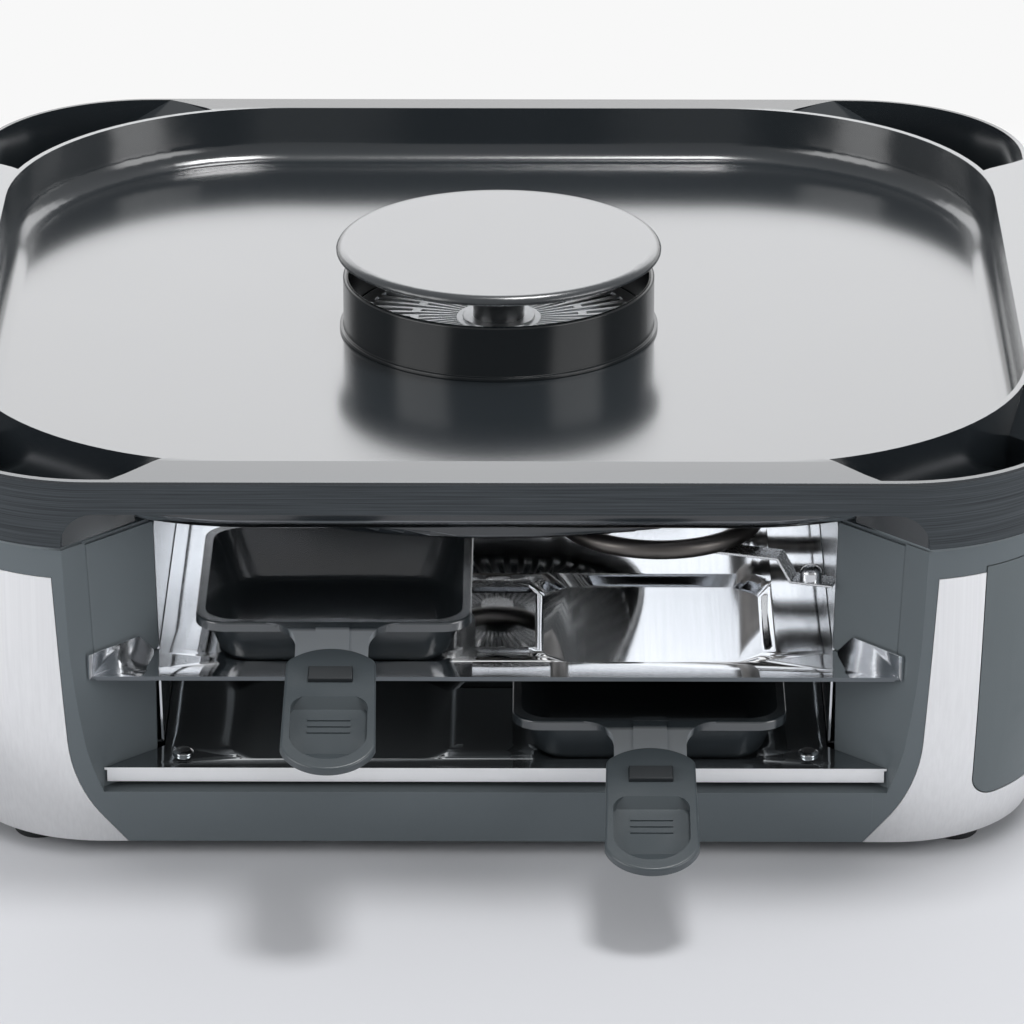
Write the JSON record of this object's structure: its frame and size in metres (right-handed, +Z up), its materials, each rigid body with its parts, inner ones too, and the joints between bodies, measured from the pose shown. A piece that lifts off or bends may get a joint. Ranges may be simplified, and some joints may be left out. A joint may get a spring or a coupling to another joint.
{
  "type": "raclette grill",
  "caption": "Table-top raclette grill: square plate with chimney over a two-level oven, with steel-clad side towers and small long-handled pans.",
  "frame": {"origin": "on the table plane, under the chimney's axis", "axes": "+Z up, -Y towards the front with the two pan handles, +X towards the side with the controls"},
  "size_m": [0.4439, 0.4934, 0.1685],
  "materials": {
    "plate": "cast, dark non-stick coat, semi-gloss",
    "chimney_ring": "bright",
    "chimney_grille": "satin",
    "chimney_cap": "bright, finely turned",
    "housing": "fine matte",
    "steel_cover": "brushed",
    "control_panel": "satin",
    "knob": "satin",
    "shaft": "turned",
    "thermostat": "matte",
    "lamp": "clear red, gloss",
    "gland": "matte",
    "feet": "matte",
    "screws": "zinc plated",
    "mirror_steel": "mirror polished",
    "shelf_steel": "satin",
    "reflector": "satin",
    "liner": "fine matte",
    "element": "heat-tinted, dull",
    "bracket": "zinc plated",
    "ceramic": "unglazed",
    "pad": "silicone, matte",
    "pan": "dark enamel with fine speckles",
    "handle": "fine matte",
    "nub": "matte"
  },
  "bodies": {
    "housing": {"right_tower": "housing", "left_tower": "housing", "right_cover": "steel_cover", "left_cover": "steel_cover", "control_panel": "control_panel", "thermostat": "thermostat", "indicator_lamp": "lamp", "cord_gland": "gland", "front_sill": "housing", "rear_sill": "housing", "base_pan": "housing", "feet": "feet", "bottom_screws": "screws", "shelf_screws": "screws", "mid_shelf": "mirror_steel", "lower_shelf": "shelf_steel", "right_reflector": "reflector", "left_reflector": "reflector", "front_right_liner": "liner", "front_left_liner": "liner", "rear_right_liner": "liner", "rear_left_liner": "liner", "heating_element": "element", "element_brackets": "bracket", "bracket_nuts": "bracket", "terminal_block": "ceramic", "plate_pads": "pad"},
    "plate": {"grill_plate": "plate", "chimney_ring": "chimney_ring", "chimney_grille": "chimney_grille"},
    "cap": {"chimney_cap": "chimney_cap"},
    "knob": {"thermostat_knob": "knob", "knob_shaft": "shaft"},
    "upper_pan": {"upper_pan": "pan", "upper_pan_handle": "handle", "upper_pan_nub": "nub"},
    "lower_pan": {"lower_pan": "pan", "lower_pan_handle": "handle", "lower_pan_nub": "nub"}
  },
  "joints": [
    {"name": "plate_lift", "type": "slide", "parent": "housing", "child": "plate", "axis": [0, 0, 1], "range_m": [0, 0.08]},
    {"name": "cap_lift", "type": "slide", "parent": "plate", "child": "cap", "axis": [0, 0, 1], "range_m": [0, 0.05]},
    {"name": "upper_pan_slide", "type": "slide", "parent": "housing", "child": "upper_pan", "axis": [0, -0.9397, 0.342], "range_m": [0, 0.042]},
    {"name": "lower_pan_slide", "type": "slide", "parent": "housing", "child": "lower_pan", "axis": [0, -0.9397, 0.342], "range_m": [0, 0.042]},
    {"name": "knob_turn", "type": "hinge", "parent": "housing", "child": "knob", "pos_m": [0.212, 0, 0.074], "axis": [1, 0, 0], "range_deg": [-270, 0]}
  ]
}
